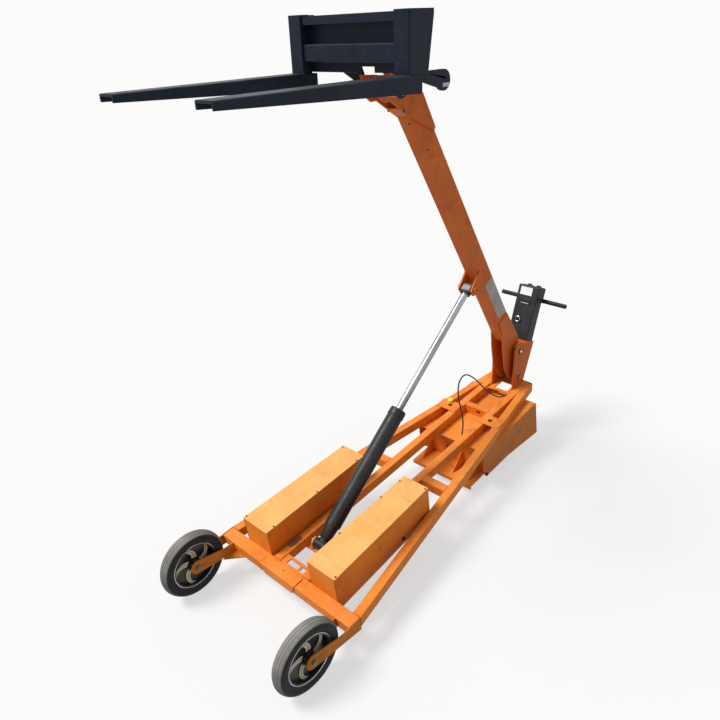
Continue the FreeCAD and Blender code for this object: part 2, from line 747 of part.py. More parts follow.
def build_carriage():
    """The carriage hangs level: its origin is at the front edge of its lower side."""
    pivot_y, pivot_z = to_world(*carriage_pivot)
    level = Placement(Vector(0, pivot_y - pivot_back, pivot_z + pivot_drop), Rotation())
    half = carriage_half_width
    inner = half - upright_width
    wall = upright_wall

    seat = -fork_seat_drop

    side = side_plate([(0, seat), (0, carriage_height), (side_depth_top, carriage_height),
                       (side_depth_top, carriage_height - 16), (side_depth_foot, seat)],
                      half - wall, half)
    front = block(inner, half, 0, wall, seat, carriage_height)
    return_flange = block(inner, inner + wall, 0, back_plate_y, seat, carriage_height)
    upright = joined(side, front, return_flange)
    rounded = [edge for edge in upright.Edges
               if abs(edge.Length - carriage_height + seat) < 1 and edge.BoundBox.XMin > half - 0.1
               and edge.BoundBox.YMax < 0.1]
    upright = upright.makeFillet(wall - 2, rounded)
    add("carriage_uprights", both_sides(upright), level)

    top_bar = block(-inner, inner, bar_front_y, back_plate_y, carriage_height - 6 - top_bar_height,
                    carriage_height - 6)
    middle_bar = block(-inner, inner, bar_front_y, back_plate_y, middle_bar_foot, middle_bar_top)
    middle_bar = middle_bar.makeFillet(5, [edge for edge in middle_bar.Edges
                                           if edge.BoundBox.YMax < bar_front_y + 0.1
                                           and edge.Length > inner])
    add("carriage_bars", [top_bar, middle_bar], level)
    plate_rear = back_plate_y + back_plate_thickness
    plate = block(wall - half, half - wall, back_plate_y, plate_rear, 2, carriage_height - 4)
    cutout = block(cutout_left, cutout_left + cutout_width, back_plate_y, plate_rear,
                   0, cutout_height)
    add("carriage_back_plate", plate.cut(cutout), level)

    # Each fork is an upturned channel, open below and at its end, that deepens to its heel.
    heel, tip = fork_heel_y, -fork_length
    x1 = half + fork_overhang
    x0 = x1 - fork_width
    fork = side_plate([(heel, 0), (heel, -fork_heel_height), (tip, -fork_tip_height), (tip, 0)],
                      x0, x1)
    fork = fork.makeFillet(fork_edge_radius, [edge for edge in fork.Edges
                                              if edge.BoundBox.ZMin > -1 and edge.Length > fork_length])
    fork = fork.cut(block(x0, x1, fork_face_end, heel, seat, 0))
    ceiling = seat - fork_wall
    fork = fork.cut(side_plate([(heel - fork_wall, ceiling), (heel - fork_wall, -fork_heel_height - 1),
                                (tip - 1, -fork_tip_height - 1), (tip - 1, ceiling)],
                               x0 + fork_wall, x1 - fork_wall))
    add("fork_left", fork, level)
    add("fork_right", mirrored(fork), level)

    lower = (pivot_back, -pivot_drop)
    offset = chassis.Rotation.multVec(Vector(0, link_offset_y, link_offset_z))
    upper = (pivot_back + offset.y, offset.z - pivot_drop)
    bracket_x = bracket_gap / 2
    bracket_end = bracket_x + bracket_thickness
    foot = (plate_rear, bracket_foot)
    outline = [foot, tangent_point(foot, lower, 28, 1), lower, upper,
               tangent_point((plate_rear, carriage_height - 12), upper, 26, -1),
               (plate_rear, carriage_height - 12)]
    rear_edge = side_plate([lower, (lower[0] + 20, lower[1]), (upper[0] + 20, upper[1]), upper],
                           bracket_x, bracket_end)
    bracket = joined(side_plate(outline, bracket_x, bracket_end), rear_edge,
                     pin_across(lower, 28, bracket_x, bracket_end),
                     pin_across(upper, 26, bracket_x, bracket_end))
    for centre in (lower, upper):
        bracket = bracket.cut(pin_across(centre, pin_radius + running_gap, 0, bracket_end))
    add("carriage_brackets", both_sides(bracket), level)
    pins = []
    for centre in (lower, upper):
        pin = pin_across(centre, pin_radius, -bracket_end, bracket_end)
        heads = both_sides(pin_across(centre, pin_radius + 5, bracket_end, bracket_end + 6))
        pins.append(joined(pin, *heads))
    add("carriage_pins", pins, level)

    lug_centre = (lug_end_y, -28)
    lug_x0 = half - wall - lug_thickness - 4
    lug = joined(side_plate([(side_depth_foot - 30, 6), (side_depth_foot - 30, -20),
                             (lug_centre[0], lug_centre[1] - 30), (lug_centre[0], 6)],
                            lug_x0, lug_x0 + lug_thickness),
                 pin_across(lug_centre, lug_end_radius, lug_x0, lug_x0 + lug_thickness))
    lug = lug.cut(block(lug_x0 - 1, half, 0, fork_heel_y + 0.3, -60, 60))
    lug = lug.cut(pin_across((lug_centre[0], lug_centre[1] + 6), lug_hole_radius, lug_x0,
                             lug_x0 + lug_thickness))
    strut = block(lug_x0, half - wall, fork_heel_y + 2, side_depth_foot - 2, 2, 8)
    add("rear_lug", joined(lug, strut), level)


def build_castor():
    """A level swivel castor under a wedge that takes up the slope of the roof."""
    roof_y, roof_z = to_world(castor_y, -section_height - housing_sheet)
    half = castor_plate_size / 2
    low = roof_z - half * math.tan(pitch) - 4
    wedge = side_plate([(roof_y - half, low), (roof_y + half, low),
                        (roof_y + half, roof_z + half * math.tan(pitch)),
                        (roof_y - half, roof_z - half * math.tan(pitch))], -half, half)
    here = Placement()
    plate_low = low - castor_plate_thickness
    plate = block(-half, half, roof_y - half, roof_y + half, plate_low, low)
    head_low = plate_low - castor_head_height
    head = Part.makeCylinder(castor_head_radius, castor_head_height, Vector(0, roof_y, head_low))
    add("castor_mount", [joined(wedge, plate, head)], here)

    crown_top = head_low - 0.3
    crown_low = crown_top - castor_fork_plate
    axle = (roof_y + castor_trail, castor_radius)
    leg_x = castor_fork_gap / 2
    leg_x1 = leg_x + castor_fork_plate
    crown = block(-leg_x1, leg_x1, roof_y - 40, roof_y + 44, crown_low, crown_top)
    leg = side_plate([(roof_y - 40, crown_low), (roof_y + 44, crown_low),
                      (axle[0] + 18, axle[1]), (axle[0], axle[1] - 10), (axle[0] - 18, axle[1])],
                     leg_x, leg_x1)
    leg = joined(leg, pin_across(axle, 18, leg_x, leg_x1))
    fork = joined(crown, leg, mirrored(leg))
    fork = fork.cut(pin_across(axle, axle_radius, -leg_x1, leg_x1))
    add("castor_fork", fork, here)
    bolt = joined(pin_across(axle, axle_radius, -leg_x1, leg_x1),
                  *both_sides(pin_across(axle, 13, leg_x1, leg_x1 + 7)))
    add("castor_axle", bolt, here)
    spot = Placement(Vector(0, axle[0], axle[1]), Rotation())
    half_wheel = castor_width / 2
    add("castor_tyre", tyre_solid(castor_radius, castor_width, 72, 14), spot)
    hub_half = leg_x - 1
    hub = ring(24, axle_radius + running_gap, -hub_half, hub_half)
    disc = ring(72, 22, 12 - half_wheel, half_wheel - 12)
    felloe = ring(72, 62, 6 - half_wheel, half_wheel - 6)
    add("castor_centre", hub.fuse([disc, felloe]).removeSplitter(), spot)
    return roof_y, axle


def rounded_path(points):
    """Straight runs joined by the largest tangent arcs that the runs allow."""
    edges, radii, start = [], [], points[0]
    for before, corner, after in zip(points, points[1:], points[2:]):
        first, second = corner - before, after - corner
        turn = first.getAngle(second)
        reach = 0.45 * min(first.Length, second.Length)
        radii.append(reach / math.tan(turn / 2))
        entry = corner - first.normalize() * reach
        leave = corner + second.normalize() * reach
        bisector = (entry + leave) * 0.5 - corner
        bisector.normalize()
        centre_distance = math.hypot(radii[-1], reach)
        middle = corner + bisector * (centre_distance - radii[-1])
        edges.append(Part.makeLine(start, entry))
        edges.append(Part.Arc(entry, middle, leave).toShape())
        start = leave
    edges.append(Part.makeLine(start, points[-1]))
    return Part.Wire(edges), radii


def build_cable():
    points = [Vector(cable_x, y, z) for y, z in cable_route]
    path, radii = rounded_path(points)
    profile = Part.Wire(Part.makeCircle(cable_radius, points[0], points[1] - points[0]))
    tube = path.makePipeShell([profile], True, False)
    section = math.pi * cable_radius ** 2
    print("cable length", round(path.Length, 1), "volume over section times length",
          round(tube.Volume / (section * path.Length), 4))
    print("cable radii", [round(radius) for radius in radii])
    add("cable", tube, chassis)
    for point in points:
        world = chassis.multVec(point)
        print("cable point", round(world.x, 1), round(world.y, 1), round(world.z, 1))


def build_cap():
    cap = Part.makeCylinder(cap_radius, cap_height,
                            Vector(cap_x, tab_y + tab_depth - cap_radius, tab_thickness))
    cap = cap.makeChamfer(4, [edge for edge in cap.Edges
                              if edge.BoundBox.ZMin > tab_thickness + cap_height - 1])
    add("yellow_cap", cap, chassis)


build_rails()
build_wheel_brackets()
build_front_wheels()
build_boxes()
build_housing()
build_tower()
build_head()
build_arm()
build_link()
build_cylinder()
build_carriage()
castor_swivel_y, castor_axle = build_castor()
build_cable()
build_cap()

# The origin goes to the middle of the footprint, at the ground.
whole = Part.makeCompound([shape for name, shape in parts.items() if name != "cable"])
bounds = whole.optimalBoundingBox()
shift = Vector(0, -(bounds.YMin + bounds.YMax) / 2, 0)
print("size", round(bounds.XLength, 1), round(bounds.YLength, 1), round(bounds.ZLength, 1),
      "lowest", round(bounds.ZMin, 3), "shift", round(shift.y, 4))

os.makedirs("parts", exist_ok=True)
for name, shape in parts.items():
    moved = shape.copy()
    moved.translate(shift)
    for solid in moved.Solids:
        if not solid.isValid():
            print("not valid", name)
    print("node", name, "solids", len(moved.Solids), "volume", round(moved.Volume))
    moved.exportStep("parts/" + name + ".step")


def show_pivot(name, y, z):
    print("pivot", name, round(y + shift.y, 4), round(z, 4))


show_pivot("arm", *to_world(*arm_pivot))
show_pivot("link", *to_world(*link_pivot))
show_pivot("carriage", *to_world(*carriage_pivot))
show_pivot("cylinder", *to_world(*cylinder_foot))
show_pivot("eye", *to_world(*eye_pivot))
show_pivot("front_axle", *to_world(axle_y, axle_z))
show_pivot("castor_axle", *castor_axle)
show_pivot("castor_swivel", castor_swivel_y, castor_radius)

# How far the cylinder turns and its rod slides while the arm comes down.
down = math.radians(arm_lowering)
reach_y, reach_z = eye_pivot[0] - arm_pivot[0], eye_pivot[1] - arm_pivot[1]
low_y = arm_pivot[0] + reach_y * math.cos(down) - reach_z * math.sin(down)
low_z = arm_pivot[1] + reach_y * math.sin(down) + reach_z * math.cos(down)
low_angle = math.atan2(low_z - cylinder_foot[1], low_y - cylinder_foot[0])
low_length = math.hypot(low_z - cylinder_foot[1], low_y - cylinder_foot[0])
print("cylinder turns", math.degrees(low_angle - cylinder_rise), "slides",
      low_length - raised_length, "length", raised_length, low_length)
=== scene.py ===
import json
import math
import random

import bmesh
import bpy
from mathutils import Matrix, Vector


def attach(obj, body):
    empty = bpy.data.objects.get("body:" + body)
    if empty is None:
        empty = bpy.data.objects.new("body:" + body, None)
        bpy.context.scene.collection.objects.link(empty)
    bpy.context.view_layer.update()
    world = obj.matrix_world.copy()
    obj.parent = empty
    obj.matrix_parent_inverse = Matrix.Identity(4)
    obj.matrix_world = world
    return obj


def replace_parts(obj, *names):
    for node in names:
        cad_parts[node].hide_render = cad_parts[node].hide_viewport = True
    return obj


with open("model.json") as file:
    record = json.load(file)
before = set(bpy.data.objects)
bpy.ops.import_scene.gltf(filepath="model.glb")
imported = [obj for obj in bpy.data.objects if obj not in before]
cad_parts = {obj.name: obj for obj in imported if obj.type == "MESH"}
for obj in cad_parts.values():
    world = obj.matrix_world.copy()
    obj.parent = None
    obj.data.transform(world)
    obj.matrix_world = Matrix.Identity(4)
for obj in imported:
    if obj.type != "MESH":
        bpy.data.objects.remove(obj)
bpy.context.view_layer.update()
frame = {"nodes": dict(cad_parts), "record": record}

nodes = frame["nodes"]

# ---------------------------------------------------------------- frames of reference
# The chassis frame is tilted by PITCH, and its wheels stand on the floor. WHEEL_X to AXLE_Z are in
# chassis millimetres, and SHIFT puts the middle of the footprint at the origin.
PITCH = math.radians(6.0)
WHEEL_X, AXLE_Y, AXLE_Z = 359.0, -188.5, 12.2
TYRE_RADIUS = 152.0
DROP = (TYRE_RADIUS - AXLE_Y * math.sin(PITCH) - AXLE_Z * math.cos(PITCH)) / 1000
SHIFT = -0.8270079
CHASSIS = Matrix.Translation((0, SHIFT, DROP)) @ Matrix.Rotation(PITCH, 4, "X")


def chassis(x, y, z):
    """A point in chassis millimetres, as the part's source counts them, in the scene's metres."""
    return CHASSIS @ Vector((x / 1000, y / 1000, z / 1000))


MM = Matrix.Scale(0.001, 4)


def plane_frame(origin, second, third):
    """A millimetre frame: X across the machine, two more axes given by their chassis (y, z)."""
    return CHASSIS @ MM @ Matrix(((1, 0, 0, 0), (0, second[0], third[0], origin[0]),
                                  (0, second[1], third[1], origin[1]), (0, 0, 0, 1)))


# Local frames in millimetres. The values are those of the part's source.
ARM_LEAN = math.radians(26.8)
ARM_PIVOT = (1752.0, 47.0)
HEAD_LEAN = math.radians(24.8)
HEAD_SEAT = (1842.0, 236.0)
CYLINDER_FOOT = (238.0, -18.5)
EYE_ALONG, EYE_ACROSS = 777.4, -9.0
EYE = (ARM_PIVOT[0] - EYE_ALONG * math.sin(ARM_LEAN) + EYE_ACROSS * math.cos(ARM_LEAN),
       ARM_PIVOT[1] + EYE_ALONG * math.cos(ARM_LEAN) + EYE_ACROSS * math.sin(ARM_LEAN))
ROD_RISE = math.atan2(EYE[1] - CYLINDER_FOOT[1], EYE[0] - CYLINDER_FOOT[0])
ROD_LENGTH = math.hypot(EYE[1] - CYLINDER_FOOT[1], EYE[0] - CYLINDER_FOOT[0])
CARRIAGE_ORIGIN = (0.0, -0.2963216, 2.0438726)

in_chassis = CHASSIS @ MM
in_arm = plane_frame(ARM_PIVOT, (-math.sin(ARM_LEAN), math.cos(ARM_LEAN)),
                     (math.cos(ARM_LEAN), math.sin(ARM_LEAN)))
in_head = plane_frame(HEAD_SEAT, (math.sin(HEAD_LEAN), math.cos(HEAD_LEAN)),
                      (math.cos(HEAD_LEAN), -math.sin(HEAD_LEAN)))
in_rod = plane_frame(CYLINDER_FOOT, (math.cos(ROD_RISE), math.sin(ROD_RISE)),
                     (-math.sin(ROD_RISE), math.cos(ROD_RISE)))
in_carriage = Matrix.Translation(CARRIAGE_ORIGIN) @ MM


def in_wheel(side):
    """The millimetre frame of a front wheel, side 1 on the left and -1 on the right."""
    return in_chassis @ Matrix.Translation((side * WHEEL_X, AXLE_Y, AXLE_Z))


# ---------------------------------------------------------------- camera
camera_data = bpy.data.cameras.new("camera")
camera = bpy.data.objects.new("camera", camera_data)
bpy.context.scene.collection.objects.link(camera)
camera.location = (1.68938, -2.03839, 2.19235)
camera.rotation_euler = (1.1004694, 0.0404153, 0.7482537)
camera_data.lens = 33.0106
camera_data.sensor_width = 36.0
camera_data.clip_end = 60.0
bpy.context.scene.camera = camera

# ---------------------------------------------------------------- node material helpers


class Nodes:
    """A small helper that builds a material's node tree."""

    def __init__(self, name):
        self.material = bpy.data.materials.new(name)
        self.material.use_nodes = True
        self.tree = self.material.node_tree
        self.shader = self.tree.nodes["Principled BSDF"]
        self.coord = self.tree.nodes.new("ShaderNodeTexCoord").outputs["Object"]

    def new(self, kind, **values):
        node = self.tree.nodes.new("ShaderNode" + kind)
        for key, value in values.items():
            if hasattr(node, key):
                setattr(node, key, value)
            else:
                self.put(node.inputs[key.replace("_", " ")], value)
        return node

    def put(self, socket, value):
        if isinstance(value, bpy.types.NodeSocket):
            self.tree.links.new(value, socket)
        else:
            socket.default_value = value

    def noise(self, scale, detail=3.0, rough=0.55, coord=None, stretch=None):
        source = coord or self.coord
        if stretch:
            mapping = self.new("Mapping", Vector=source)
            mapping.inputs["Scale"].default_value = stretch
            source = mapping.outputs["Vector"]
        node = self.new("TexNoise", Vector=source, Scale=scale, Detail=detail, Roughness=rough)
        return node.outputs["Fac"]

    def ramp(self, value, low, high, start=0.0, end=1.0):
        node = self.new("MapRange", Value=value)
        node.inputs["From Min"].default_value = low
        node.inputs["From Max"].default_value = high
        node.inputs["To Min"].default_value = start
        node.inputs["To Max"].default_value = end
        return node.outputs["Result"]

    def math(self, operation, a, b=0.5):
        node = self.new("Math", operation=operation)
        self.put(node.inputs[0], a)
        self.put(node.inputs[1], b)
        return node.outputs[0]

    def mix(self, factor, a, b):
        node = self.new("Mix", data_type="RGBA")
        self.put(node.inputs["Factor"], factor)
        for socket, value in ((node.inputs[6], a), (node.inputs[7], b)):
            if isinstance(value, tuple):
                value = (*value, 1.0)[:4]
            self.put(socket, value)
        return node.outputs[2]

    def bump(self, height, strength=0.3, distance=0.001):
        node = self.new("Bump", Height=height)
        node.inputs["Strength"].default_value = strength
        node.inputs["Distance"].default_value = distance
        self.put(self.shader.inputs["Normal"], node.outputs["Normal"])

    def up(self):
        """How far the surface faces upwards, from 0 to 1."""
        normal = self.new("NewGeometry").outputs["Normal"]
        split = self.new("SeparateXYZ", Vector=normal)
        return self.ramp(split.outputs["Z"], 0.2, 1.0)

    def done(self, colour, rough, metallic=0.0, specular=0.4):
        if isinstance(colour, tuple):
            colour = (*colour, 1.0)
        self.put(self.shader.inputs["Base Color"], colour)
        self.put(self.shader.inputs["Roughness"], rough)
        self.shader.inputs["Metallic"].default_value = metallic
        self.shader.inputs["Specular IOR Level"].default_value = specular
        return self.material


def paint(name, base, dark, light, dust=0.12, rough=0.45, chips=0.5, specular=0.14):
    """Sprayed paint with mottling, scuffs, dust on top and small chips."""
    n = Nodes(name)
    broad = n.noise(5.0, 3.0)
    fine = n.noise(60.0, 4.0, 0.6)
    colour = n.mix(n.ramp(broad, 0.35, 0.7), base, dark)
    colour = n.mix(n.math("MULTIPLY", n.ramp(fine, 0.45, 0.75), 0.35), colour, light)
    grime = n.noise(13.0, 6.0, 0.7)
    colour = n.mix(n.math("MULTIPLY", n.ramp(grime, 0.56, 0.72), 0.45), colour,
                   tuple(channel * 0.4 for channel in dark))
    settled = n.math("MULTIPLY", n.up(), n.ramp(n.noise(9.0, 5.0), 0.4, 0.7, 0.2, 1.0))
    colour = n.mix(n.math("MULTIPLY", settled, dust), colour, (0.55, 0.47, 0.36))
    chip = n.ramp(n.noise(85.0, 2.0, 0.5), 0.735, 0.75)
    chip = n.math("MULTIPLY", chip, n.ramp(broad, 0.5, 0.6))
    colour = n.mix(n.math("MULTIPLY", chip, chips), colour, (0.11, 0.07, 0.05))
    roughness = n.ramp(fine, 0.3, 0.8, rough - 0.06, rough + 0.2)
    ripple = n.math("ADD", n.noise(220.0, 2.0), n.math("MULTIPLY", chip, -2.0))
    n.bump(ripple, 0.12, 0.0006)
    return n.done(colour, roughness, specular=specular)


def metal(name, base, rough, scale=90.0, metallic=1.0, grime=0.4):
    """Metal with fine grain and grime in broad patches."""
    n = Nodes(name)
    fine = n.noise(scale, 4.0, 0.6)
    broad = n.noise(14.0, 4.0)
    colour = n.mix(n.ramp(fine, 0.3, 0.8), base, tuple(channel * 0.7 for channel in base))
    patches = n.math("MULTIPLY", n.ramp(broad, 0.5, 0.75), grime)
    colour = n.mix(patches, colour, (0.09, 0.075, 0.06))
    n.bump(fine, 0.1, 0.0003)
    return n.done(colour, n.ramp(broad, 0.3, 0.8, rough, rough + 0.22), metallic)


def plastic(name, base, rough, grain=600.0, strength=0.15, specular=0.3, dust=0.06):
    """Plastic or rubber with fine grain, and a little dust on top."""
    n = Nodes(name)
    fine = n.noise(grain, 2.0)
    broad = n.noise(11.0, 4.0)
    colour = n.mix(n.ramp(broad, 0.35, 0.7), base, tuple(min(1.0, c * 1.5 + 0.01) for c in base))
    colour = n.mix(n.math("MULTIPLY", n.up(), dust), colour, (0.5, 0.47, 0.42))
    n.bump(fine, strength, 0.0004)
    return n.done(colour, n.ramp(broad, 0.3, 0.7, rough, rough + 0.15), specular=specular)


def polished_rod(name, lean):
    """A hydraulic rod: bright metal with light and dark bands along its length, a painted
    reflection of its surroundings.
    """
    n = Nodes(name)
    turned = n.new("Mapping", Vector=n.coord)
    turned.inputs["Rotation"].default_value = (-lean, 0, 0)
    painted_reflection_streaks = n.noise(30.0, 3.0, 0.5, coord=turned.outputs["Vector"], stretch=(1.0, 0.04, 1.0))
    spots = n.noise(55.0, 4.0, 0.6)
    # Light and dark bands along the rod: painted reflection of the surroundings.
    colour = n.mix(n.ramp(painted_reflection_streaks, 0.35, 0.65), (0.13, 0.14, 0.16), (0.40, 0.42, 0.45))
    colour = n.mix(n.math("MULTIPLY", n.ramp(spots, 0.62, 0.75), 0.5), colour, (0.12, 0.11, 0.10))
    n.bump(spots, 0.05, 0.0002)
    return n.done(colour, n.ramp(painted_reflection_streaks, 0.3, 0.7, 0.22, 0.36), 1.0)


ORANGE = paint("orange_paint", (0.80, 0.245, 0.026), (0.66, 0.165, 0.015), (0.88, 0.34, 0.07),
               dust=0.10)
ORANGE_ARM = paint("orange_paint_arm", (0.66, 0.155, 0.022), (0.52, 0.105, 0.014),
                   (0.76, 0.23, 0.05), dust=0.04)
# A darker copy of the orange paint for the side plates of the housing and the wheels: painted
# shade.
ORANGE_SHADED_SIDE = paint("orange_paint_shaded_side", (0.60, 0.190, 0.018), (0.46, 0.130, 0.012),
                    (0.70, 0.26, 0.04), dust=0.05)
# A paler, lighter copy of the orange paint for the lids on top: painted top light, partly dust.
LID_DUST_AND_TOP_LIGHT = paint("lid_paint_dust_and_top_light", (0.87, 0.43, 0.13), (0.80, 0.33, 0.075), (0.94, 0.57, 0.25), dust=0.14)
BLACK = paint("black_paint", (0.012, 0.019, 0.033), (0.007, 0.011, 0.020), (0.030, 0.042, 0.064),
              dust=0.05, rough=0.42, chips=0.25, specular=0.13)
BARREL = paint("barrel_paint", (0.017, 0.017, 0.020), (0.010, 0.010, 0.012), (0.04, 0.04, 0.045),
               dust=0.04, rough=0.38, chips=0.1, specular=0.22)
STEEL = metal("zinc_steel", (0.50, 0.50, 0.51), 0.34)
BRIGHT = metal("bright_steel", (0.75, 0.76, 0.78), 0.2, 60.0, 1.0, 0.05)
CHROME = polished_rod("chrome_rod", ROD_RISE)
GREY_CAST = metal("grey_cast", (0.20, 0.21, 0.24), 0.45, 60.0, 0.5, 0.3)
OLIVE_ZINC = metal("olive_zinc", (0.20, 0.19, 0.11), 0.42, 90.0, 0.7, 0.5)
SCREW = metal("dark_screw", (0.05, 0.045, 0.04), 0.45, 120.0, 0.6)
BROWN = paint("brown_patch", (0.23, 0.11, 0.035), (0.14, 0.07, 0.025), (0.34, 0.18, 0.07))
PLASTIC = plastic("black_plastic", (0.013, 0.014, 0.017), 0.45, specular=0.22)
GLASS = plastic("display_black", (0.004, 0.004, 0.006), 0.15, 300.0, 0.02, 0.4, 0.0)
TREAD = plastic("tyre_tread", (0.150, 0.146, 0.140), 0.8, 260.0, 0.3, 0.15, 0.25)
RUBBER = plastic("tyre_rubber", (0.012, 0.012, 0.014), 0.6, 260.0, 0.2, 0.22)
CASTOR_RUBBER = plastic("castor_rubber", (0.03, 0.03, 0.03), 0.6, 200.0, 0.2)
CABLE = plastic("cable_black", (0.012, 0.012, 0.013), 0.4, 300.0, 0.05)
YELLOW = plastic("yellow_plastic", (0.80, 0.55, 0.05), 0.3, 200.0, 0.05)
RIM = metal("rim_black", (0.010, 0.010, 0.012), 0.3, 70.0, 0.0, 0.1)
SPOKE = plastic("spoke_stripe", (0.50, 0.47, 0.34), 0.45, 300.0, 0.05, dust=0.1)
BLANK = plastic("blank_label", (0.66, 0.66, 0.68), 0.5, 300.0, 0.03)
NAMEPLATE = plastic("blank_nameplate", (0.30, 0.28, 0.28), 0.45, 90.0, 0.08)
PALE = plastic("pale_plate", (0.42, 0.43, 0.45), 0.5, 300.0, 0.03)

slot_materials = {
    "orange_paint": ORANGE, "black_paint": BLACK, "tyre": RUBBER, "castor_rubber": CASTOR_RUBBER,
    "rim_black": RIM, "steel": STEEL, "chrome_rod": CHROME, "black_plastic": PLASTIC,
    "black_cable": CABLE, "yellow_plastic": YELLOW,
}
# The side plates of the housing and the wheels take a darker copy of the orange paint as painted
# shade, and the lids a paler copy as painted top light, partly dust.
own_materials = {"box_lids": LID_DUST_AND_TOP_LIGHT, "cylinder_barrel": BARREL, "arm_channel": ORANGE_ARM,
                 "arm_head": ORANGE_ARM, "arm_foot_plates": ORANGE_ARM, "cylinder_ears": ORANGE_ARM,
                 "eye_pins": ORANGE_ARM, "tower_pins": BROWN, "housing_panels": ORANGE_SHADED_SIDE,
                 "tower_sides": ORANGE_ARM, "tower_web": ORANGE_ARM,
                 "wheel_plates_left": ORANGE_SHADED_SIDE, "wheel_plates_right": ORANGE_SHADED_SIDE}
# The rounded edges of tubes and pressed plates, as a bevel in metres on the CAD nodes.
edge_rounding = {"front_beam": 0.004, "inner_rail": 0.003, "outer_rail": 0.003,
                 "cross_members": 0.003, "battery_box": 0.0015, "box_lids": 0.0012,
                 "arm_channel": 0.004, "carriage": 0.0018, "fork": 0.0012, "tower_sides": 0.0015,
                 "beam_patch": 0.0012, "tab_plates": 0.001, "wheel_plates": 0.0012,
                 "arm_head": 0.0012, "arm_foot": 0.0012, "housing": 0.001, "rear_lug": 0.002,
                 "frame_end": 0.002, "control_head": 0.0015}
for part in frame["record"]["subparts"]:
    node = part["node"]
    piece = nodes[node]
    material = own_materials.get(node, slot_materials[part["material_slot"]])
    if not piece.material_slots:
        piece.data.materials.append(material)
    for material_slot in piece.material_slots:
        material_slot.material = material
    for start, width in edge_rounding.items():
        if node.startswith(start) and node != "carriage_pins":
            weld = piece.modifiers.new("weld", "WELD")
            weld.merge_threshold = 0.00002
            rounding = piece.modifiers.new("rounding", "BEVEL")
            rounding.width = width
            rounding.segments = 2
            rounding.limit_method = "ANGLE"
            rounding.angle_limit = math.radians(40)
            piece.modifiers.new("normals", "WEIGHTED_NORMAL")

# ---------------------------------------------------------------- shape helpers


class Sketch:
    """Solids drawn in the millimetres of one local frame, turned into one piece at the end."""

    def __init__(self, place):
        self.place = place
        self.bm = bmesh.new()

    def slab(self, low, high):
        """A box between two corners."""
        for vert in bmesh.ops.create_cube(self.bm, size=1.0)["verts"]:
            vert.co = [a + (c + 0.5) * (b - a) for a, b, c in zip(low, high, vert.co)]

    def drum(self, centre, axis, radius, height, sides=32, end_radius=None):
        """A round solid, or a hexagonal one with 6 sides, from its centre point along an axis."""
        end = radius if end_radius is None else end_radius
        turn = Vector((0, 0, 1)).rotation_difference(Vector(axis)).to_matrix()
        made = bmesh.ops.create_cone(self.bm, cap_ends=True, segments=sides, radius1=radius,
                                     radius2=end, depth=height)
        for vert in made["verts"]:
            vert.co = Vector(centre) + turn @ (vert.co + Vector((0, 0, height / 2)))

    def prism(self, outline, start, end):
        """A plate with an outline in the frame's second and third axes, from x start to x end."""
        rows = [[self.bm.verts.new((x, *point)) for point in outline] for x in (start, end)]
        self.bm.faces.new(rows[0])
        self.bm.faces.new(list(reversed(rows[1])))
        for i in range(len(outline)):
            j = (i + 1) % len(outline)
            self.bm.faces.new((rows[0][i], rows[1][i], rows[1][j], rows[0][j]))

    def sweep(self, rings, closed=False):
        """Skins rings of points, each given as a list of equal length."""
        rows = [[self.bm.verts.new(point) for point in ring] for ring in rings]
        pairs = list(zip(rows, rows[1:] + (rows[:1] if closed else [])))
        for first, second in pairs if closed else pairs[:len(rows) - 1]:
            for i in range(len(first)):
                j = (i + 1) % len(first)
                self.bm.faces.new((first[i], first[j], second[j], second[i]))
        if not closed:
            self.bm.faces.new(rows[0])
            self.bm.faces.new(list(reversed(rows[-1])))

    def turned(self, centre, axis, profile, sides=72):
        """A ring turned about an axis from a closed profile of (along, radius) points."""
        turn = Vector((0, 0, 1)).rotation_difference(Vector(axis)).to_matrix()
        rings = []
        for k in range(sides):
            angle = 2 * math.pi * k / sides
            rings.append([Vector(centre) + turn @ Vector((radius * math.cos(angle),
                                                          radius * math.sin(angle), along))
                          for along, radius in profile])
        self.sweep(rings, closed=True)

    def hoop(self, centre, axis, radius, minor, sides=72):
        """A thin ring of round wire about an axis."""
        turn = Vector((0, 0, 1)).rotation_difference(Vector(axis)).to_matrix()
        rings = []
        for step in range(sides):
            angle = 2 * math.pi * step / sides
            out = Vector((math.cos(angle), math.sin(angle), 0))
            rings.append([Vector(centre) + turn @ (out * (radius + minor * math.cos(a))
                                                   + Vector((0, 0, minor * math.sin(a))))
                          for a in (math.pi * k / 4 for k in range(8))])
        self.sweep(rings, closed=True)

    def bead(self, start, end, radius, ripple=3.4):
        """A weld bead between two points: a thin tube with a ripple."""
        start, end = Vector(start), Vector(end)
        run = end - start
        turn = run.to_track_quat("Z", "Y").to_matrix()
        count = max(4, int(run.length / ripple * 3))
        rings = []
        for step in range(count + 1):
            wave = 0.22 * math.cos(2 * math.pi * step / 3)
            swell = radius * (0.78 + wave + random.uniform(-0.07, 0.07))
            if step in (0, count):
                swell *= 0.4
            centre = start + run * (step / count)
            rings.append([centre + turn @ Vector((swell * math.cos(a), swell * math.sin(a), 0))
                          for a in (math.pi * k / 3 for k in range(6))])
        self.sweep(rings)

    def piece(self, name, material, body, slot_name=None, bevel=0.0):
        """Ends the sketch: its solids become one object that rides on a body."""
        self.bm.transform(self.place)
        bmesh.ops.recalc_face_normals(self.bm, faces=self.bm.faces)
        mesh = bpy.data.meshes.new(name)
        self.bm.to_mesh(mesh)
        self.bm.free()
        mesh.polygons.foreach_set("use_smooth", [True] * len(mesh.polygons))
        mesh.set_sharp_from_angle(angle=math.radians(35))
        obj = bpy.data.objects.new(name, mesh)
        bpy.context.scene.collection.objects.link(obj)
        mesh.materials.append(material)
        if bevel:
            modifier = obj.modifiers.new("bevel", "BEVEL")
            modifier.width = bevel
            modifier.segments = 2
            modifier.limit_method = "ANGLE"
        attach(obj, body)
        return obj


random.seed(7)

